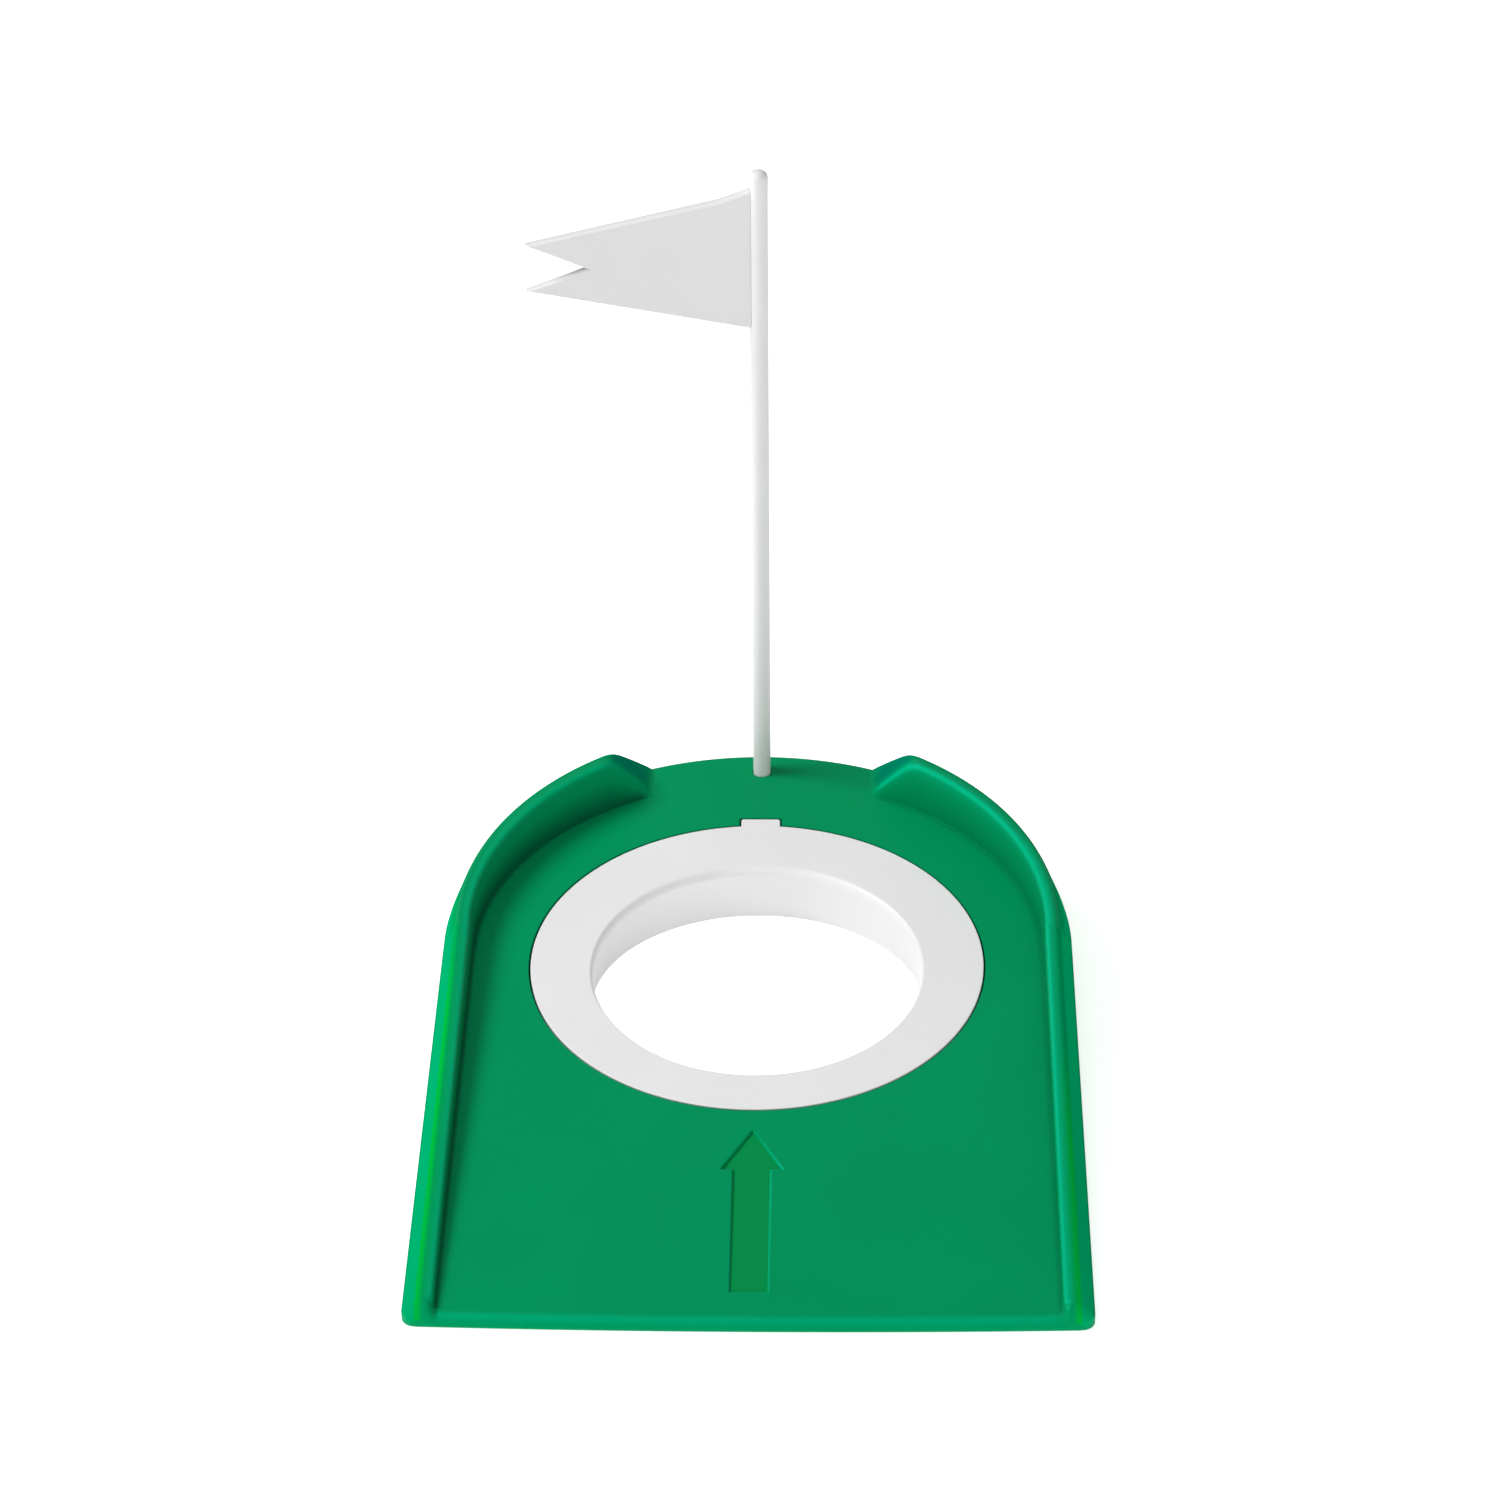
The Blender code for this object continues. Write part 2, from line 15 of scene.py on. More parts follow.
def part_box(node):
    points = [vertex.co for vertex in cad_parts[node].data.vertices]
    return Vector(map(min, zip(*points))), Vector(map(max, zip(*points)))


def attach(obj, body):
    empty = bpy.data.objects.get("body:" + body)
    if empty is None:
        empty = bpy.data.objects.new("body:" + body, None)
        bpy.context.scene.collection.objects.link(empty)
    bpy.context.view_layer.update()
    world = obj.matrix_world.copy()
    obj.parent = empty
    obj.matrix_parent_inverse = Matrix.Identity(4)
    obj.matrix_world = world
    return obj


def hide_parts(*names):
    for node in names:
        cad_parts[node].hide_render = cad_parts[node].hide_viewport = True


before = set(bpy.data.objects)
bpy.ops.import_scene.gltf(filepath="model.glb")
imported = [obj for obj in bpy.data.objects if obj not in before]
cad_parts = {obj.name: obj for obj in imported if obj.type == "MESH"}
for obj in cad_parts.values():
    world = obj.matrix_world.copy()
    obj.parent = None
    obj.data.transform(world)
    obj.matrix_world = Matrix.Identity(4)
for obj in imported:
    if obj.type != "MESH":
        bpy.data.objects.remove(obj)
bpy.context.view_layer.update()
MM = 0.001

# %% [markdown]
# ## Sizes
# A maker thinks of this part in a few numbers: how steep the deck is, where its hole is, and how the
# wall rises towards the back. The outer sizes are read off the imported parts, so that both models agree,
# and the finer ones are set here. All are in millimetres and become metres once, at the end.

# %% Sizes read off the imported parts
def corners_of(node):
    """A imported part's lowest and highest corners, in millimetres."""
    return [[round(value / MM, 2) for value in corner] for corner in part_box(node)]


base_low, base_high = corners_of("putting_base")
ring_low, ring_high = corners_of("cup_ring")
pole_low, pole_high = corners_of("flag_pole")
HALF = base_high[0]          # half the base's width, and the radius of its round back
FRONT = base_low[1]          # the front edge's foremost point
LENGTH = base_high[1] - FRONT
FLANGE = ring_high[0]        # radius of the white ring's flange
HOLE_Y = ring_low[1] + FLANGE
KEY_BACK = ring_high[1]      # the back of the ring's key
RING_FOOT = ring_low[2]      # height of the ring's lower end
POLE_Y = round((pole_low[1] + pole_high[1]) / 2, 2)
POLE_FOOT = pole_low[2]      # height of the pole's lower end
POLE_TOP = pole_high[2]      # and of its head
print("half width", HALF, "length", LENGTH, "hole at", HOLE_Y, "flange", FLANGE, "pole at", POLE_Y)

# %% Finer sizes of the base
BOW = 1.4                    # how far the front edge bows forward
CORNER = 3.3                 # front corners in plan
RIM_Y = 32.0                 # centre of the round back's outer edge
DECK_FRONT = 2.6             # height of the deck at the front edge
DECK_BACK = 21.9             # and at the back
SLOPE = (DECK_BACK - DECK_FRONT) / LENGTH
SHELL = 2.4                  # thickness of the deck
SIDE_SHELL = 2.5             # and of the side, measured at the rim
WALL = 8.0                   # the wall's width, from its inner foot to the rim
WALL_FRONT = 2.5             # height of the wall above the deck at the front
WALL_BACK = 14.4             # and at the back
CREST = 4.0                  # reach of the crest's outer edge from the foot
RIM_ROUND = 0.6              # the skin's last rounding, at the rim
EDGE_LOW = 0.4               # height where the front edge's rounding ends
FOOT = HALF - WALL           # half-width between the wall's inner feet
FOOT_Y = 28.0                # centre of the wall's inner arc
TOE = 1.75                   # how far inside the foot the skin's rows begin
GAP_HALF = 30.7              # half the gap in the wall behind the hole, at the deck
END_ANGLE = 38.5             # lean of the wall's ends from upright, in degrees
ENDS_Y = 60.0                # the wall's ends lie behind this
HOLE = 54.0                  # radius of the hole
SEAT_GAP = 0.42              # clearance between the ring's flange and its seat
LEDGE = 2.9                  # depth of the ring's seat
SOCKET = 2.75                # radius of the pole's socket


def deck(y):
    """Height of the ramp's surface."""
    return DECK_FRONT + SLOPE * (y - FRONT)


def front_edge(x):
    """Where the front edge lies: it bows forward in the middle."""
    return FRONT + BOW * (x / HALF) ** 2


def clamp(value):
    """Keep a value between nothing and one."""
    return min(max(value, 0.0), 1.0)


def soft_min(a, b, k):
    """The lower of two heights, with a round meeting instead of a crease."""
    return min(a, b) - max(k - abs(a - b), 0.0) ** 2 / (4 * k)


print("deck rises from", round(deck(FRONT), 2), "to", round(deck(FRONT + LENGTH), 2))

# %% Finer sizes of the ring and the pole
KEY_HALF = 5.3               # half the key's width
KEY_CORNER = 0.7             # rounding of the key's corners
BORE = 42.9                  # radius of the ring's bore under its lip
BORE_MOUTH_Y = HOLE_Y - 2.7  # the bore's centre at the flange
BORE_FOOT_Y = HOLE_Y - 1.1   # and at its foot, since it stands square to the sloping flange
DRAFT = 0.8                  # how much wider the bore is at its foot
SLEEVE = 2.2                 # thickness of the sleeve round the bore
POLE_HEAD = 2.56             # radius of the pole's head
print("bore", 2 * BORE, "across at its narrowest, pole", round(POLE_TOP - POLE_FOOT, 1), "long")

# %% [markdown]
# ## The wall's rounded shape
# The wall is not a box on the deck. A mould needs soft corners, so it has a small hollow fillet at its
# foot, a rounded lip, a flat top, a wider rounding on the outside, and a leaning outer face that runs
# down to the rim. That outline is a list of steps, each a reach from the foot and a rise above the
# deck. Laying the same steps at every place along the wall keeps all its roundings in line.

# %% The wall's outline
def wall_steps(height):
    """(reach, rise) pairs from the deck, over the wall and down to the rim."""
    fillet = min(0.45, 0.3 * height)
    lip = min(1.2, 0.45 * height)
    lean = 0.15 + 0.4 * height / 14.0
    steps = [(-TOE, 0.0), (-1.5, 0.0), (-1.15, 0.0), (-0.8, 0.0)]

    # the hollow fillet, the inner face and the lip
    for i in range(1, 6):
        a = math.radians(18 * i)
        steps.append((-0.45 + 0.45 * math.sin(a), fillet * (1 - math.cos(a))))
    for i in range(1, 6):
        steps.append((lean * i / 6, fillet + (height - lip - fillet) * i / 6))
    for i in range(7):
        a = math.radians(15 * i)
        steps.append((lean + 1.2 * (1 - math.cos(a)), height - lip * (1 - math.sin(a))))

    # the outer rounding of the crest, the outer lean and the rim
    fall = Vector((WALL - CREST, -height)).normalized()
    top = Vector((CREST, height))
    before = top - Vector((1.0, 0.0))
    after = top + fall * 1.6
    for i in range(9):
        t = i / 8
        steps.append(tuple(before * (1 - t) ** 2 + top * 2 * t * (1 - t) + after * t * t))
    low = Vector((WALL - RIM_ROUND, height * RIM_ROUND / (WALL - CREST)))
    for i in range(1, 19):
        steps.append(tuple(after + (low - after) * i / 18))
    for i in range(1, 6):
        a = math.radians(18 * i)
        steps.append((WALL - RIM_ROUND + RIM_ROUND * math.sin(a), 0.0))
    return steps


STEPS = len(wall_steps(10.0))
print("steps across the wall:", STEPS)

# %% [markdown]
# ## How high the surface is at any place
# The wall grows from front to back, stops in a sloping end either side of the pole, and rounds over at
# the front like a nose. Each of these is one rule for height. Their rounded minimum gives one smooth
# skin, with no cuts and so no hard seams between them.

# %% Height rules
def wall_height(y):
    """The wall's height above the deck, which grows towards the back."""
    return WALL_FRONT + (WALL_BACK - WALL_FRONT) * clamp((y - FRONT) / LENGTH)


def end_slope(x):
    """The wall's end: nothing in the gap at the back, then a steep rise out of a round foot."""
    rise = (abs(x) - GAP_HALF) / math.tan(math.radians(END_ANGLE))
    return -soft_min(-rise, 0.0, 1.4)


def surface(x, y, reach, share, height):
    """Height of the skin at a place in plan, for a step that stands at a share of the wall's height."""
    up = share * height
    if y > ENDS_Y:
        top = max(soft_min(height, end_slope(x), 3.6), 0.0)
        if reach < CREST - 1.0:
            up = share * top
        else:
            lower = min(up, top)
            up = lower + (soft_min(up, top, 1.2) - lower) * clamp(top / 2.0)
    z = deck(y) + up
    past = (reach - WALL + RIM_ROUND) / RIM_ROUND
    if past > 0.0:
        z -= RIM_ROUND * (1 - math.sqrt(max(1 - past ** 2, 0.0)))
    front_round = 2.6 + clamp(up / WALL_FRONT)  # deeper where the wall stands
    t = clamp((y - front_edge(x)) / front_round)
    return EDGE_LOW + (z - EDGE_LOW) * math.sqrt(1 - (1 - t) ** 2)


print("wall end at x = 36 mm rises", round(end_slope(36.0), 2))

# %% [markdown]
# ## Stations round the outline
# The skin is lofted: at many stations round the base the wall's outline is laid from the deck out to
# the rim. Stations are close together at the nose and at the wall's ends, where the shape turns, and
# further apart on the straight sides. At the front corner they fan out round one small arc, so that no
# two of them cross. Only the right half is worked out, and the left half mirrors it.

# %% The outer edge round the front corner
FRONT_ROW = 5.0              # how far behind the front edge the front's stations begin
FAN_X = 72.5                 # where the front's stations start to fan round the corner
FAN_ROUND = FOOT - TOE - FAN_X


def corner_edge():
    """The outer edge from the front's end, round the corner, to the start of the straight side."""
    count = 15
    edge = []
    for i in range(count):
        x = FAN_X + (HALF - CORNER - FAN_X) * i / count
        edge.append(Vector((x, front_edge(x))))
    corner_y = FRONT + BOW + CORNER
    for i in range(13):
        a = math.radians(-90 + 7.5 * i)
        edge.append(Vector((HALF - CORNER + CORNER * math.cos(a), corner_y + CORNER * math.sin(a))))
    for i in range(1, 7):
        edge.append(Vector((HALF, corner_y + 0.45 * i)))
    return edge


print("points round the corner:", len(corner_edge()))


# %% Stations on the right half
def stations():
    """(inner point, outer point, kind) in plan, from the front's middle round to near the back's."""
    made = []
    count = 30
    for i in range(count):
        x = FAN_X * i / count
        made.append((Vector((x, front_edge(x) + FRONT_ROW)), Vector((x, front_edge(x))), "front"))
    edge = corner_edge()
    fan_y = front_edge(FAN_X) + FRONT_ROW + FAN_ROUND
    for i, outer in enumerate(edge):
        a = math.radians(90) * i / (len(edge) - 1)
        inner = Vector((FAN_X + FAN_ROUND * math.sin(a), fan_y - FAN_ROUND * math.cos(a)))
        made.append((inner, outer, "corner"))
    start = edge[-1].y
    count = 45
    for i in range(1, count + 1):
        y = start + (FOOT_Y - start) * i / count
        made.append((Vector((FOOT - TOE, y)), Vector((HALF, y)), "side"))
    angle = 1.5
    while angle < 90.01:
        a = math.radians(angle)
        out = Vector((math.cos(a), math.sin(a)))
        foot = Vector((0, FOOT_Y)) + out * FOOT
        rim = Vector((0, RIM_Y)) + out * HALF
        away = (rim - foot).normalized()
        made.append((foot - away * TOE, rim, "arc"))
        angle += 0.3 if 54.0 < angle < 72.0 else 1.5
    return made


half = stations()
print("stations on one half:", len(half), "last at", half[-1][1])


# %% The wall's share of its height at a reach
def share_at(reach, steps, height):
    """The share of the wall's height at a reach, read off its outline."""
    if reach <= steps[0][0]:
        return 0.0
    for (r0, z0), (r1, z1) in zip(steps, steps[1:]):
        if r0 <= reach <= r1:
            return (z0 + (z1 - z0) * (reach - r0) / max(r1 - r0, 1e-6)) / height
    return 0.0


def nose_share(place, reach, steps, height):
    """The share at the front, where the wall's foot and lip grow soft towards the nose."""
    share = share_at(reach, steps, height)
    if reach < 1.9:
        softness = clamp((5.0 - place.y + front_edge(place.x)) / 2.3)
        t = clamp((reach + 0.7) / 2.6)
        share += (t * t * (3 - 2 * t) - share) * softness
    return share


# %% Points across the wall at one station
def across(inner, outer, kind):
    """The skin's points at one station, from the deck out to the rim."""
    height = wall_height((inner.y + outer.y) / 2)
    steps = wall_steps(height)
    foot = inner + (outer - inner).normalized() * TOE
    points = []
    for reach, rise in steps:
        share = rise / height
        place = inner + (outer - inner) * (reach + TOE) / (TOE + WALL)
        if kind == "arc":
            span = outer - foot
            place = foot + span * reach / WALL if reach > 0 else foot + span.normalized() * reach
        elif kind != "side":
            reach = place.x - FOOT
            share = nose_share(place, reach, steps, height)
        points.append(Vector((*place, surface(*place, reach, share, height))))
    return points


skin = [across(*station) for station in half]
print("points in one half of the skin:", sum(len(row) for row in skin))

# %% [markdown]
# ## Lofting helpers
# A loft carries one closed loop of points to the next. Extruding the loop's edges and moving the new
# points to their places keeps every point in step with the one before, which joining two finished
# loops can't promise where they lie in one plane.

# %% Loft helper
def loft(loops, closed=False):
    """Carry a loop of points through a list of places, then fill the ends or close the tube."""
    bm = bmesh.new()
    verts = [bm.verts.new(p) for p in loops[0]]
    ring = [bm.edges.new((verts[i], verts[(i + 1) % len(verts)])) for i in range(len(verts))]
    for loop in loops[1:] + (loops[:1] if closed else []):
        grown = bmesh.ops.extrude_edge_only(bm, edges=ring)["geom"]
        fresh = {v for v in grown if isinstance(v, bmesh.types.BMVert)}
        verts = [next(e.other_vert(v) for e in v.link_edges if e.other_vert(v) in fresh) for v in verts]
        for v, p in zip(verts, loop):
            v.co = p
        ring = [e for e in grown if isinstance(e, bmesh.types.BMEdge) and set(e.verts) <= fresh]
    if closed:
        bmesh.ops.remove_doubles(bm, verts=bm.verts, dist=0.0005)
    else:
        bmesh.ops.holes_fill(bm, edges=[e for e in bm.edges if e.is_boundary])
    bmesh.ops.recalc_face_normals(bm, faces=bm.faces)
    return bm


# %% Outline helpers
def offset(outline, distance):
    """Move a closed outline outwards by a distance, corner by corner."""
    area = sum(a.x * b.y - b.x * a.y for a, b in zip(outline, outline[1:] + outline[:1]))
    sign = 1.0 if area > 0 else -1.0
    moved = []
    for i, p in enumerate(outline):
        before = (p - outline[i - 1]).normalized()
        after = (outline[(i + 1) % len(outline)] - p).normalized()
        n0 = Vector((before.y, -before.x)) * sign
        n1 = Vector((after.y, -after.x)) * sign
        moved.append(p + (n0 + n1) * distance / max(1 + n0.dot(n1), 0.3))
    return moved


def lift(outline, rise):
    """Stand a flat outline at a height above the deck's tilted plane."""
    return [Vector((p.x, p.y, deck(p.y) + rise)) for p in outline]


# %% Piece helpers
def place_piece(name, bm):
    """Scale a bmesh from millimetres to metres and make it an object at the origin."""
    bmesh.ops.transform(bm, matrix=Matrix.Scale(MM, 4), verts=bm.verts)
    mesh = bpy.data.meshes.new(name)
    bm.to_mesh(mesh)
    bm.free()
    obj = bpy.data.objects.new(name, mesh)
    bpy.context.scene.collection.objects.link(obj)
    print(name, "faces:", len(mesh.polygons))
    return obj


def combine(target, tool, operation):
    """Apply an exact Boolean, then weld the points that it doubled."""
    modifier = target.modifiers.new("cut", "BOOLEAN")
    modifier.operation = operation
    modifier.solver = "EXACT"
    modifier.object = tool
    mesh = bpy.data.meshes.new_from_object(target.evaluated_get(bpy.context.evaluated_depsgraph_get()))
    target.modifiers.clear()
    target.data = mesh
    bpy.data.objects.remove(tool)
    bm = bmesh.new()
    bm.from_mesh(mesh)
    bmesh.ops.remove_doubles(bm, verts=bm.verts, dist=0.003 * MM)
    bmesh.ops.dissolve_degenerate(bm, edges=bm.edges, dist=0.002 * MM)
    bm.to_mesh(mesh)
    bm.free()


def smooth(obj, degrees):
    """Shade round faces smooth, and let large flat faces keep their own direction."""
    obj.data.shade_smooth()
    obj.data.set_sharp_from_angle(angle=math.radians(degrees))
    weighted = obj.modifiers.new("flat faces lead", "WEIGHTED_NORMAL")
    weighted.keep_sharp = True
    weighted.weight = 100


# %% [markdown]
# ## The green base
# The base is one injection-moulded shell, so it is one closed skin here too: the deck, over the wall,
# down the side, under the edge and up into the hollow below. The hole, the ring's seat, the arrow and
# the pole's socket are then cut, with cutters that flare at the top, as the real edges are eased.

# %% The base's skin
def both_sides(points):
    """A loop for the whole base from its right half, whose first and last points are kept once."""
    return points + [Vector((-p.x, *p[1:])) for p in reversed(points[1:-1])]


HOLLOW_FRONT = FRONT + 13.4   # where the hollow underneath begins
corner_points = [outer for inner, outer, kind in half if kind == "corner"]
side_start = corner_points[-1].y
under = []
for inner, outer, kind in half:
    if kind == "front":
        under.append(Vector((outer.x, HOLLOW_FRONT)))
    elif kind == "corner":
        turn = corner_points.index(outer) / len(corner_points)
        under.append(Vector((FAN_X + (HALF - SIDE_SHELL - FAN_X) * turn, HOLLOW_FRONT)))
    elif kind == "side":
        share = (outer.y - side_start) / (FOOT_Y - side_start)
        under.append(Vector((HALF - SIDE_SHELL, HOLLOW_FRONT + (FOOT_Y - HOLLOW_FRONT) * share)))
    else:
        middle = Vector((0, RIM_Y))
        under.append(middle + (outer - middle) * (1 - SIDE_SHELL / HALF))
outline = [outer for inner, outer, kind in half]
eased = [p + (u - p).normalized() * 0.3 for p, u in zip(outline, under)]

loops = [both_sides([row[k] for row in skin]) for k in range(STEPS)]
loops.append(both_sides([Vector((p.x, p.y, 0.3)) for p in outline]))
loops.append(both_sides([Vector((*((p + e) / 2 + (p - e) * 0.2), 0.09)) for p, e in zip(outline, eased)]))
loops.append(both_sides([Vector((*e, 0.0)) for e in eased]))
loops.append(both_sides([Vector((*u, 0.0)) for u in under]))
loops.append(both_sides([Vector((*u, deck(u.y) - SHELL)) for u in under]))
base = place_piece("moulded_base", loft(loops))


# %% Parts of the shell under the deck
def disc(radius, y, steps=128):
    """A round outline centred on the base's middle line."""
    turns = [2 * math.pi * i / steps for i in range(steps)]
    return [Vector((radius * math.cos(a), y + radius * math.sin(a))) for a in turns]


def block(half_width, front, back, middle=0.0):
    """A square-cornered outline."""
    return [Vector((middle - half_width, front)), Vector((middle + half_width, front)),
            Vector((middle + half_width, back)), Vector((middle - half_width, back))]


def column(outline, low, high_rise):
    """A solid from a level foot up to a plane parallel to the deck."""
    return loft([[Vector((*p, low)) for p in outline], lift(outline, high_rise)])


def slab(outline, low_rise, high_rise):
    """A solid between two planes parallel to the deck."""
    return loft([lift(outline, low_rise), lift(outline, high_rise)])


SEAT_BLOCK = FLANGE + 2.7    # radius of the ledge's block
RIB_X = 34.0                 # how far the ribs stand from the middle
combine(base, place_piece("seat_block", slab(disc(SEAT_BLOCK, HOLE_Y), -5.3, -1.0)), "UNION")
combine(base, place_piece("key_block", slab(block(8.0, 76.0, 88.2), -5.0, -1.3)), "UNION")
combine(base, place_piece("skirt", column(disc(HOLE + SHELL, HOLE_Y), 0.0, -3.9)), "UNION")
combine(base, place_piece("boss", column(disc(5.35, POLE_Y, 48), 0.0, -1.0)), "UNION")
for side in (-RIB_X, RIB_X):
    combine(base, place_piece("rib", column(block(0.8, -103.6, -20.9, side), 0.6, -1.0)), "UNION")

# %% [markdown]
# ## Cutting the hole, the seat, the arrow and the socket
# A cutter that is straight would leave a knife edge on the deck. Each one here widens in a quarter
# round over its last part of a millimetre, and that leaves the small eased edge of a real moulding.

# %% Cutter helpers
def flared(outline, depth, ease):
    """A cutter as deep as asked under the deck, eased where it meets the surface."""
    rings = [lift(offset(outline, -0.15), -depth), lift(outline, -depth + 0.15)]
    if depth > 1.0:
        rings.append(lift(outline, -ease - 0.2))  # holds the shading off the deep wall
    for i in range(6):
        a = math.radians(18 * i)
        rings.append(lift(offset(outline, ease * (1 - math.cos(a))), -ease * (1 - math.sin(a))))
    rings.append(lift(offset(outline, ease), 3.0))
    return loft(rings)


def keyed(radius, key_half, key_back, corner, steps=160):
    """A round outline with the key's block at the back."""
    round_part = [p for p in disc(radius, HOLE_Y, steps) if abs(p.x) > key_half + 0.5 or p.y < HOLE_Y]
    root = HOLE_Y + math.sqrt(radius ** 2 - key_half ** 2)
    right = [Vector((key_half, root)), Vector((key_half, (root + key_back) / 2))]
    for i in range(5):
        a = math.radians(22.5 * i)
        right.append(Vector((key_half - corner * (1 - math.cos(a)), key_back - corner * (1 - math.sin(a)))))
    left = [Vector((-p.x, p.y)) for p in reversed(right)]
    first = next(i for i, p in enumerate(round_part) if p.x < 0 and p.y > HOLE_Y)
    return round_part[:first] + right + left + round_part[first:]


# %% Cut the hole and the seat
through = [[Vector((*p, z)) for p in disc(HOLE, HOLE_Y)] for z in (-2.0, 60.0)]
combine(base, place_piece("hole_cutter", loft(through)), "DIFFERENCE")
seat = keyed(FLANGE + SEAT_GAP, KEY_HALF + SEAT_GAP, KEY_BACK + SEAT_GAP, KEY_CORNER)
combine(base, place_piece("seat_cutter", flared(seat, LEDGE, 0.25)), "DIFFERENCE")

# %% Cut the arrow
ARROW_TIP = HOLE_Y - 67.6
NECK = ARROW_TIP - 14.4      # where the arrow's head meets its shaft
TAIL = ARROW_TIP - 59.0
HEAD_HALF = 7.5              # half the head's width
SHAFT_HALF = 4.55            # and half the shaft's
arrow = [Vector((0.0, ARROW_TIP)), Vector((-HEAD_HALF, NECK)), Vector((-SHAFT_HALF, NECK)),
         Vector((-SHAFT_HALF, TAIL)), Vector((SHAFT_HALF, TAIL)), Vector((SHAFT_HALF, NECK)),
         Vector((HEAD_HALF, NECK))]
combine(base, place_piece("arrow_cutter", flared(arrow, 0.8, 0.6)), "DIFFERENCE")

# %% Cut the pole's socket
socket_rings = [[Vector((*p, POLE_FOOT - 0.3)) for p in disc(SOCKET, POLE_Y, 48)]]
for radius, rise in ((2.6, -0.4), (2.64, -0.1), (SOCKET, 0.0), (SOCKET, 3.0)):
    socket_rings.append(lift(disc(radius, POLE_Y, 48), rise))
combine(base, place_piece("socket_cutter", loft(socket_rings)), "DIFFERENCE")
smooth(base, 38)

# %% [markdown]
# ## The white ring
# The ring's flange lies in the deck's slope while its foot is level, so its rings of points follow the
# tilt above and turn level below. The bore stands square to the flange and widens towards its foot. The
# key is part of the flange's outline, and the bore's mouth has a soft lip that leads the ball in.

# %% The ring
edge = keyed(FLANGE, KEY_HALF, KEY_BACK, KEY_CORNER)


def on_circle(radius, centre_y):
    """Points at the same bearings as the flange's edge, on a circle of another radius and centre."""
    return [Vector((0, centre_y)) + (p - Vector((0, HOLE_Y))).normalized() * radius for p in edge]


rings = [lift(offset(edge, -0.2), -2.6), lift(edge, -2.4), lift(edge, -0.5), lift(edge, -0.22),
         lift(offset(edge, -0.06), -0.07), lift(offset(edge, -0.2), 0.0), lift(offset(edge, -0.5), 0.0)]
rings.append(lift(on_circle(BORE + SLEEVE + 0.1, BORE_MOUTH_Y), 0.0))
for i in range(11):
    a = math.radians(9 * i)
    open_by = 1 - math.sin(a)
    mouth = on_circle(BORE + 1.1 * open_by, BORE_MOUTH_Y + 0.5 * open_by)
    rings.append(lift(mouth, -2.4 * (1 - math.cos(a))))
for reach, rise in ((0.0, 0.5), (0.15, 0.15), (0.5, 0.0),
                    (SLEEVE - 0.4, 0.0), (SLEEVE - 0.1, 0.15), (SLEEVE, 0.5)):
    foot_circle = on_circle(BORE + DRAFT + reach, BORE_FOOT_Y)
    rings.append([Vector((*p, RING_FOOT + rise)) for p in foot_circle])
rings.append(lift(on_circle(BORE + SLEEVE, BORE_MOUTH_Y), -2.6))
ring = place_piece("reducing_ring", loft(rings, closed=True))
smooth(ring, 40)

# %% [markdown]
# ## The pole
# A drawn or moulded rod: round, a touch thicker at the top, with a small domed head. Spinning one
# profile about its axis is the natural way to make it.

# %% The pole
HEAD_HIGH = 2.1              # height of the domed head
profile = [(0.0, POLE_FOOT), (1.9, POLE_FOOT), (2.3, POLE_FOOT + 0.12), (2.4, POLE_FOOT + 0.5),
           (2.42, 60.0), (2.46, 120.0), (2.48, 180.0), (2.5, POLE_TOP - 5.0), (POLE_HEAD, POLE_TOP - 3.4)]
for i in range(9):
    a = math.radians(11.25 * i)
    profile.append((POLE_HEAD * math.cos(a), POLE_TOP - HEAD_HIGH + HEAD_HIGH * math.sin(a)))
profile[-1] = (0.0, POLE_TOP)
bm = bmesh.new()
verts = [bm.verts.new((r, POLE_Y, z)) for r, z in profile]
edges = [bm.edges.new(pair) for pair in zip(verts, verts[1:])]
bmesh.ops.spin(bm, geom=verts + edges, cent=(0, POLE_Y, 0), axis=(0, 0, 1), angle=2 * math.pi,
               steps=72, use_merge=True)
bmesh.ops.remove_doubles(bm, verts=bm.verts, dist=0.001)
bmesh.ops.recalc_face_normals(bm, faces=bm.faces)
pole = place_piece("white_pole", bm)
smooth(pole, 40)

# %% [markdown]
# ## The pennant
# The pennant is a stiff moulded plate, not cloth. Its edges are rounded all the way round, and its
# root is hollowed to sit against the round pole, with a small flare at the top corner.

# %% The pennant
THICK = 1.6                  # half its thickness
EASE = 1.05                  # rounding of its edges
ROOT_TOP = 197.4             # upper end of the root, at the pole
ROOT_LOW = 157.75            # and its lower end
TAIL_X = -60.9               # the two tails' ends


def plate_outline(inset, y):
    """The swallow-tail, drawn in by an inset, with its root kept on the pole's side."""
    corners = [Vector((-2.0, ROOT_TOP)), Vector((-3.6, ROOT_TOP - 0.8)), Vector((-5.7, ROOT_TOP - 1.6)),
               Vector((-10.0, ROOT_TOP - 3.3)), Vector((TAIL_X, 181.4)), Vector((-44.8, 174.85)),
               Vector((TAIL_X, 168.35)), Vector((-2.0, ROOT_LOW))]
    drawn = offset(corners, -inset)
    root = -math.sqrt(POLE_HEAD ** 2 - y ** 2)
    top = drawn[0].copy()
    low = drawn[-1].copy()
    top.x = root
    low.x = root
    low.y = ROOT_LOW + inset
    top.y = ROOT_TOP - inset
    shape = [top] + drawn[1:-1] + [low]
    full = []
    for k, (a, b) in enumerate(zip(shape, shape[1:] + shape[:1])):
        parts = 8 if a is low else max(1, round((corners[k + 1] - corners[k]).length / 4.0))
        full += [a.lerp(b, i / parts) for i in range(parts)]
    return full


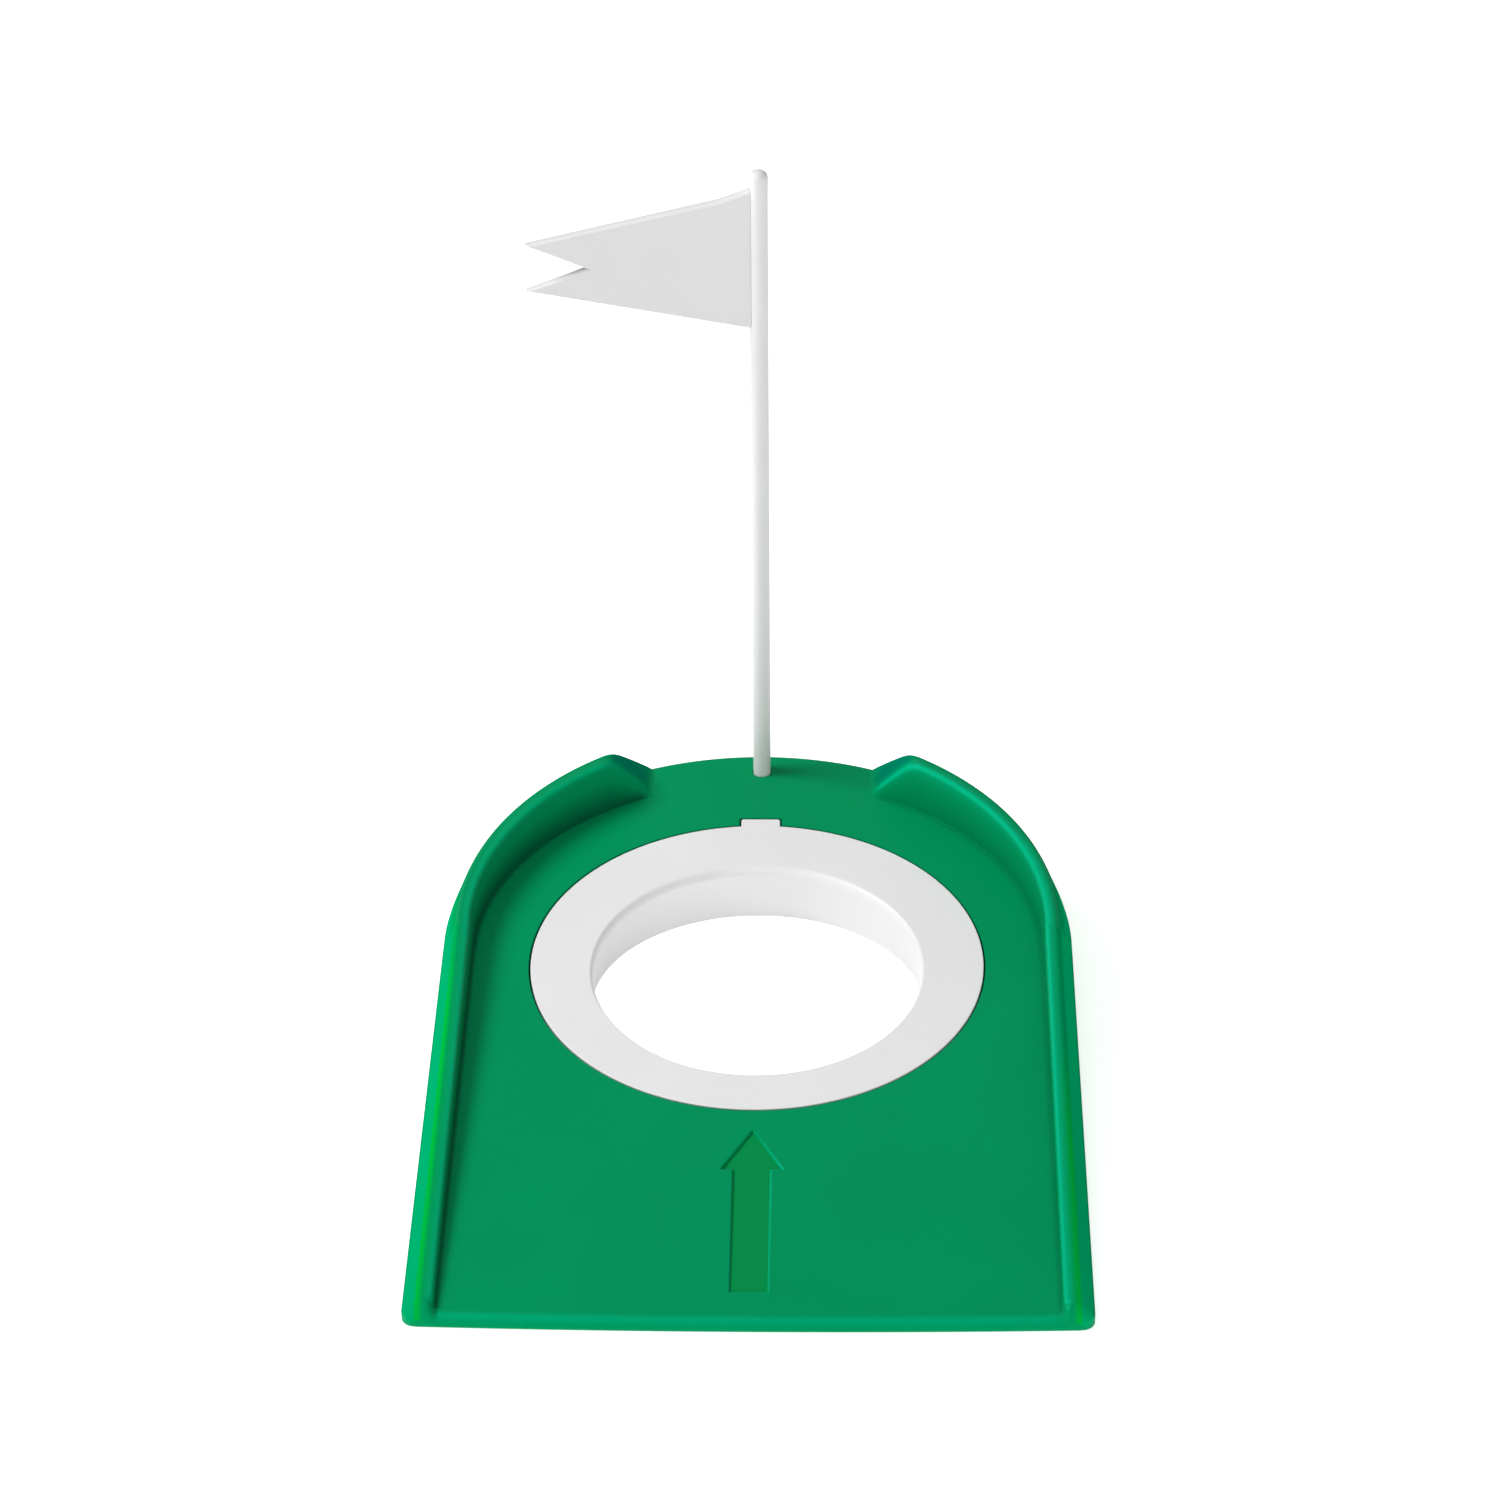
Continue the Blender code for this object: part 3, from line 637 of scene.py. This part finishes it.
rings = []
levels = [(-THICK, EASE)]
for i in range(1, 7):
    a = math.radians(15 * i)
    levels.append((-THICK + EASE * (1 - math.cos(a)), EASE * (1 - math.sin(a))))
levels += [(-y, inset) for y, inset in reversed(levels)]
for y, inset in levels:
    rings.append([Vector((p.x, POLE_Y + y, p.y)) for p in plate_outline(inset, y)])
print("points per ring:", [len(r) for r in rings])
pennant = place_piece("swallow_tail", loft(rings))
smooth(pennant, 40)

# %% [markdown]
# ## The green plastic
# Moulded polypropylene is satin, not glossy: a fine grain from the mould breaks up its highlights. The
# colour is not quite even either, since the pigment drifts with the flow of the melt. Noise at three
# sizes gives these, all of it on Object coordinates so that it stays put on the piece. The purer green
# on the wall's crest is a painted highlight, set with the other painted light below.

# %% A plastic and its noise
def new_material(name, color, roughness):
    """A plain moulded plastic: its material, its node tree and its Principled shader."""
    material = bpy.data.materials.new(name)
    material.use_nodes = True
    tree = material.node_tree
    shader = tree.nodes["Principled BSDF"]
    shader.inputs["Base Color"].default_value = (*color, 1.0)
    shader.inputs["Roughness"].default_value = roughness
    shader.inputs["IOR"].default_value = 1.49
    return material, tree, shader


def noise(tree, coordinates, scale, detail):
    """Soft noise, finer as its scale grows."""
    node = tree.nodes.new("ShaderNodeTexNoise")
    node.inputs["Scale"].default_value = scale
    node.inputs["Detail"].default_value = detail
    tree.links.new(coordinates, node.inputs["Vector"])
    return node.outputs["Fac"]


def ramp(tree, factor, low, high, start=0.3, end=0.7):
    """Map a factor to a range of values. A noise keeps mostly between 0.3 and 0.7."""
    node = tree.nodes.new("ShaderNodeMapRange")
    node.inputs["From Min"].default_value = start
    node.inputs["From Max"].default_value = end
    node.inputs["To Min"].default_value = low
    node.inputs["To Max"].default_value = high
    tree.links.new(factor, node.inputs["Value"])
    return node.outputs["Result"]


# %% Mixing, marking and grain
def mix(tree, factor, first, second):
    """Blend two colours, each a tuple or another node's output."""
    node = tree.nodes.new("ShaderNodeMix")
    node.data_type = "RGBA"
    sockets = [s for s in node.inputs if s.type == "RGBA"]
    for socket, value in zip(sockets, (first, second)):
        if isinstance(value, tuple):
            socket.default_value = (*value, 1.0)
        else:
            tree.links.new(value, socket)
    tree.links.new(factor, node.inputs[0])
    return [s for s in node.outputs if s.type == "RGBA"][0]


def painted(tree, name):
    """A number that every point of the mesh carries under this name."""
    node = tree.nodes.new("ShaderNodeAttribute")
    node.attribute_name = name
    return node.outputs["Fac"]


def grain(tree, shader, coordinates, scale, depth, strength):
    """The mould's fine texture as a bump."""
    bump = tree.nodes.new("ShaderNodeBump")
    bump.inputs["Strength"].default_value = strength
    bump.inputs["Distance"].default_value = depth
    tree.links.new(noise(tree, coordinates, scale, 3.0), bump.inputs["Height"])
    tree.links.new(bump.outputs["Normal"], shader.inputs["Normal"])


# %% Green
GREEN = (0.0, 0.278, 0.102)
GREEN_DEEP = (0.0, 0.26, 0.094)
# crest and lip are painted highlights, lean and end are painted reflections of the bright room, shade is
# painted shade, and sunk is the arrow floor's yellower tone
PAINTED_LIGHT_AND_TINTS = {"crest": (0.0, 0.44, 0.02), "sunk": (0.001, 0.25, 0.062), "lip": (0.0, 0.50, 0.26),
         "lean": (0.0, 0.35, 0.13), "end": (0.0, 0.20, 0.13), "shade": (0.0, 0.055, 0.03)}
green, tree, shader = new_material("satin green plastic", GREEN, 0.42)
shader.inputs["Specular Tint"].default_value = (0.02, 1.0, 0.55, 1.0)
place = tree.nodes.new("ShaderNodeTexCoord").outputs["Object"]
flow = ramp(tree, noise(tree, place, 26.0, 4.0), 0.0, 1.0)
tone = mix(tree, flow, GREEN_DEEP, GREEN)
for name, color in PAINTED_LIGHT_AND_TINTS.items():
    tone = mix(tree, painted(tree, name), tone, color)
gloss = ramp(tree, painted(tree, "dull"), 0.07, 0.0, start=0.0, end=1.0)
tree.links.new(gloss, shader.inputs["Specular IOR Level"])
tree.links.new(tone, shader.inputs["Base Color"])
tree.links.new(ramp(tree, noise(tree, place, 140.0, 5.0), 0.38, 0.47), shader.inputs["Roughness"])
grain(tree, shader, place, 2600.0, 0.00004, 0.22)
base.data.materials.clear()
base.data.materials.append(green)
print("green nodes:", len(tree.nodes))

# %% [markdown]
# Light and shade are painted into the green: painted highlights make it purer on the wall's crest and
# brighter on its lips, on its left nose and along the front and arrow edges, painted shade darkens the
# foot and the gap round the ring, and a painted reflection makes it bluer on the outer lean and on the
# wall's ends. The arrow's polished floor is yellower, and the outer faces are dull. Height and place say
# where each of these lies, so a number on every point says how near it is, and the material reads it.

# %% Where a point lies across the wall
def reach_of(x, y):
    """Reach across the wall, from nothing at its foot to WALL at its rim."""
    if y < FOOT_Y:
        return abs(x) - FOOT
    run = Vector((x, y - FOOT_Y)).normalized()
    foot = Vector((0, FOOT_Y)) + run * FOOT
    rim = Vector((0, RIM_Y)) + run * HALF
    return (Vector((x, y)) - foot).dot(rim - foot) * WALL / (rim - foot).length_squared


def near(value, centre, width):
    """One at the centre, and softly down to nothing at a width either side."""
    t = max(1 - abs(value - centre) / width, 0.0)
    return t * t * (3 - 2 * t)


# %% Painted light and shade on the wall
def wall_painted_light_and_gloss(found, side, reach, ahead, above, height, slope):
    """Painted highlights, reflections and shade on the wall, and its dull faces: side says how strong each
    is on the half where the point lies.
    """
    stands = clamp(slope / 3.0)
    # painted highlight along the crest
    found["crest"] = near(reach, CREST + 0.25, 1.9) * side["crest"]
    if ahead > 6.0:
        found["crest"] *= clamp(above / 2.0)
    found["dull"] = clamp((reach - CREST + 1.2) / 0.5) * stands
    # painted reflection of the bright room on the outer lean
    found["lean"] = clamp((reach - CREST - 0.5) / 0.5) * clamp((7.9 - reach) / 0.5) * stands
    # painted highlight on the inner lip, stronger on the right half
    found["lip"] = near(reach, 1.1, 1.0) * clamp(above / height * 4 - 2.6) * stands * side["lip"]
    # painted shade in the wall's foot
    if reach < 1.0:
        low = clamp(1 - above / (0.62 * height)) * clamp((reach + 1.0) / 0.7)
        found["shade"] = low * side["foot"] * clamp((ahead - 1.0) / 3.0) * stands
    # painted reflection on the wall's sloping ends
    if slope < 16.0 and reach > 1.6 and above > 0.4:
        on_end = clamp(1.6 - abs(above - slope) / 0.7)
        found["end"] = 0.75 * on_end * clamp((reach - 1.6) / 0.8) * stands
    if slope < 16.0 and above > 0.2:
        on_end = clamp(1.8 - abs(above - slope) / 0.9)
        found["dull"] = max(found["dull"], on_end * clamp(slope / 0.8))
    # painted highlight on the nose, only on the left half
    if ahead < 7.0:
        glint = side["nose"] * near(math.hypot(reach - 5.6, ahead - 4.6), 0.0, 1.5)
        found["lip"] = max(found["lip"], glint)


# %% Tint and painted highlights in the arrow
def arrow_tint_and_highlight(found, x, y, above):
    """Tints in the sunk arrow: its floor's yellower tone, and painted highlights on the edges on its right
    and at its foot.
    """
    if above < -0.62:
        found["sunk"] = 1.0
    # painted highlights on the arrow's tail edge and right edge
    elif y < TAIL + 0.5:
        found["lip"] = 0.3
    elif x > 0.5:
        found["lip"] = 0.5


# %% Mark the painted highlights on the crest and lips and the painted shade in the feet and gap
def marks_at(x, y, z):
    """How strongly each tint, painted highlight, painted reflection and painted shade shows at one point of
    the base.
    """
    found = dict.fromkeys([*PAINTED_LIGHT_AND_TINTS, "dull"], 0.0)
    above = z - deck(y)
    ahead = y - front_edge(x)
    reach = reach_of(x, y)
    slope = end_slope(x) if y > ENDS_Y else 99.0
    height = max(min(wall_height(y), slope), 0.5)
    # the right half faces away from the key lamp and the left half towards it
    side = {"crest": clamp((-15.0 - y) / 40.0) * 0.7, "lip": 0.75, "foot": 0.3, "nose": 0.0}
    if x < 0:
        side = {"crest": clamp((45.0 - y) / 50.0) * 0.75, "lip": 0.25, "foot": 0.75, "nose": 0.7}
    if z > 0.35 and above > -1.0 and reach > -1.0 and not (reach < 0 and above < -0.3):
        wall_painted_light_and_gloss(found, side, reach, ahead, above, height, slope)
    # painted highlight along the deck's front edge
    if reach < 0.0 and 0.0 < ahead < 3.4 and z > 0.35:
        found["lip"] = 0.3 * near(ahead, 1.6, 1.8) * clamp(-reach / 1.4)
    if abs(x) < HEAD_HALF + 1.5 and TAIL - 2.0 < y < ARROW_TIP + 1.5 and -1.2 < above < -0.02:
        arrow_tint_and_highlight(found, x, y, above)
    # painted shade in the ring's seat, darker deeper down; its faces are dull as well
    if -3.2 < above < -0.02 and reach < -2.0 and math.hypot(x, y - HOLE_Y) < 64.0:
        found["dull"] = 1.0
        found["shade"] = 0.7 if above < -0.4 else 0.3
    return found


marked = [marks_at(*(v.co / MM)) for v in base.data.vertices]
for name in [*PAINTED_LIGHT_AND_TINTS, "dull"]:
    layer = base.data.attributes.new(name, "FLOAT", "POINT")
    layer.data.foreach_set("value", [found[name] for found in marked])
    print("points marked", name, sum(1 for found in marked if found[name] > 0.3))

# %% [markdown]
# ## The white plastics
# The ring, the pole and the pennant are white resins of slightly different brightness, each a little
# uneven. The pennant is duller than the pole because it comes from a grained mould. The ring is greyer
# in its bore and in the gap round it, where little light comes in, so its points carry a shade too.

# %% A white resin
# the colour of the painted shade in the ring's bore and gap
PAINTED_SHADE_GREY = (0.11, 0.12, 0.115)


def white_plastic(name, color, rough, depth, gloss):
    """A white resin with a slight drift in tone, a fine grain of the given depth, and the painted shade
    that its points carry.
    """
    material, tree, shader = new_material(name, color, rough)
    place = tree.nodes.new("ShaderNodeTexCoord").outputs["Object"]
    dimmer = tuple(c * 0.965 for c in color)
    tone = mix(tree, ramp(tree, noise(tree, place, 34.0, 4.0), 0.0, 1.0), dimmer, color)
    tree.links.new(mix(tree, painted(tree, "shade"), tone, PAINTED_SHADE_GREY), shader.inputs["Base Color"])
    roughness = ramp(tree, noise(tree, place, 170.0, 5.0), rough - 0.04, rough + 0.04)
    tree.links.new(roughness, shader.inputs["Roughness"])
    grain(tree, shader, place, 2900.0, depth, 0.2)
    shader.inputs["Specular IOR Level"].default_value = gloss
    return material


# %% The shade in the ring's bore and gap
def ring_shade(x, y, z):
    """How much painted shade greys one point of the ring: in the gap round its flange, and in its bore,
    more further down and towards the right.
    """
    depth = deck(y) - z
    if depth > 0.4 and math.hypot(x, y - HOLE_Y) > FLANGE - 1.0:
        return 0.4
    bore_y = BORE_MOUTH_Y + (BORE_FOOT_Y - BORE_MOUTH_Y) * clamp(depth / 13.0)
    if math.hypot(x, y - bore_y) < BORE + 1.6:
        return clamp(depth / 2.4) * (0.12 + 0.14 * clamp(depth / 13.0) + 0.1 * clamp(x / BORE))
    return 0.0


shades = [ring_shade(*(v.co / MM)) for v in ring.data.vertices]
ring.data.attributes.new("shade", "FLOAT", "POINT").data.foreach_set("value", shades)
print("shaded points of the ring:", sum(1 for shade in shades if shade > 0.0))

# %% The three whites
RING_WHITE = (0.80, 0.80, 0.80)
POLE_WHITE = (0.71, 0.71, 0.71)
PENNANT_WHITE = (0.672, 0.666, 0.666)
for piece, finish in ((ring, white_plastic("white ring plastic", RING_WHITE, 0.44, 0.00003, 0.5)),
                      (pole, white_plastic("white pole plastic", POLE_WHITE, 0.40, 0.00002, 0.25)),
                      (pennant, white_plastic("white pennant plastic", PENNANT_WHITE, 0.50, 0.00003, 0.3))):
    piece.data.materials.append(finish)
print("materials:", [m.name for m in bpy.data.materials])

# %% [markdown]
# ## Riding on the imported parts
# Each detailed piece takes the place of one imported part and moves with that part's body: the ring
# lifts out, the pole pulls out, and the pennant turns about the pole.

# %% Ride
for piece, node, body, slot in ((base, "putting_base", "base", "green_plastic"),
                                (ring, "cup_ring", "ring", "white_plastic"),
                                (pole, "flag_pole", "pole", "pole_plastic"),
                                (pennant, "pennant", "flag", "pennant_plastic")):
    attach(piece, body)
    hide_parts(node)
    print(piece.name, "rides on", body)

# %% [markdown]
# ## Floor, light and camera
# A white floor and three soft lamps are a plain product set. The key lamp stands high on the left, a
# weak one hangs over the back, and a broad one in front fills the shadows. The floor glows a little, so
# that it stays white and shows hardly any shadow where the base stands.

# %% Floor
bm = bmesh.new()
bmesh.ops.create_grid(bm, x_segments=1, y_segments=1, size=6.0)
mesh = bpy.data.meshes.new("floor")
bm.to_mesh(mesh)
bm.free()
floor = bpy.data.objects.new("floor", mesh)
bpy.context.scene.collection.objects.link(floor)
floor.location.z = -0.00005  # just under the base, so that the two don't share a plane
floor_white, tree, shader = new_material("floor white", (0.94, 0.94, 0.94), 0.9)
shader.inputs["Specular IOR Level"].default_value = 0.0
shader.inputs["Emission Color"].default_value = (1.0, 1.0, 1.0, 1.0)
shader.inputs["Emission Strength"].default_value = 0.58
mesh.materials.append(floor_white)


# %% Lights
def area(name, place, target, size, power):
    """A round soft lamp at a place, aimed at a target."""
    data = bpy.data.lights.new(name, "AREA")
    data.shape = "DISK"
    data.size = size
    data.energy = power
    lamp = bpy.data.objects.new(name, data)
    lamp.location = place
    lamp.rotation_euler = (Vector(target) - Vector(place)).to_track_quat("-Z", "Y").to_euler()
    bpy.context.scene.collection.objects.link(lamp)
    print("lamp:", name, "at", place)


area("key", (-0.85, 0.1, 0.95), (0.0, 0.0, 0.0), 0.55, 11.4)
area("overhead", (0.1, 0.5, 1.7), (0.0, 0.02, 0.0), 1.2, 2.5)
area("front", (0.1, -1.6, 0.55), (0.0, 0.0, 0.03), 0.9, 8.5)
world = bpy.data.worlds.new("studio")
world.use_nodes = True
world.node_tree.nodes["Background"].inputs["Color"].default_value = (1.0, 1.0, 1.0, 1.0)
world.node_tree.nodes["Background"].inputs["Strength"].default_value = 0.33
bpy.context.scene.world = world
bpy.context.scene.view_settings.view_transform = "Standard"

# %% [markdown]
# The camera stands 1.2 m away and looks down at a third of a right angle, with a long lens, so the
# ramp's sides draw in only a little towards the back.

# %% Camera
camera_data = bpy.data.cameras.new("camera")
camera_data.lens = 109.415
camera_data.sensor_width = 36.0
camera = bpy.data.objects.new("camera", camera_data)
stand = Vector((0.02139, -0.97479, 0.67898))
turn = math.radians(-1.307)
down = math.radians(31.009)
roll = math.radians(-0.48)
ahead = Vector((math.sin(turn) * math.cos(down), math.cos(turn) * math.cos(down), -math.sin(down)))
level = Vector((math.cos(turn), -math.sin(turn), 0.0))
upright = level.cross(ahead)
right = level * math.cos(roll) + upright * math.sin(roll)
up = upright * math.cos(roll) - level * math.sin(roll)
camera.matrix_world = Matrix((
    (right.x, up.x, -ahead.x, stand.x),
    (right.y, up.y, -ahead.y, stand.y),
    (right.z, up.z, -ahead.z, stand.z),
    (0.0, 0.0, 0.0, 1.0)))
bpy.context.scene.collection.objects.link(camera)
bpy.context.scene.camera = camera
print("camera distance in metres:", round(stand.length, 3))

bpy.context.view_layer.update()
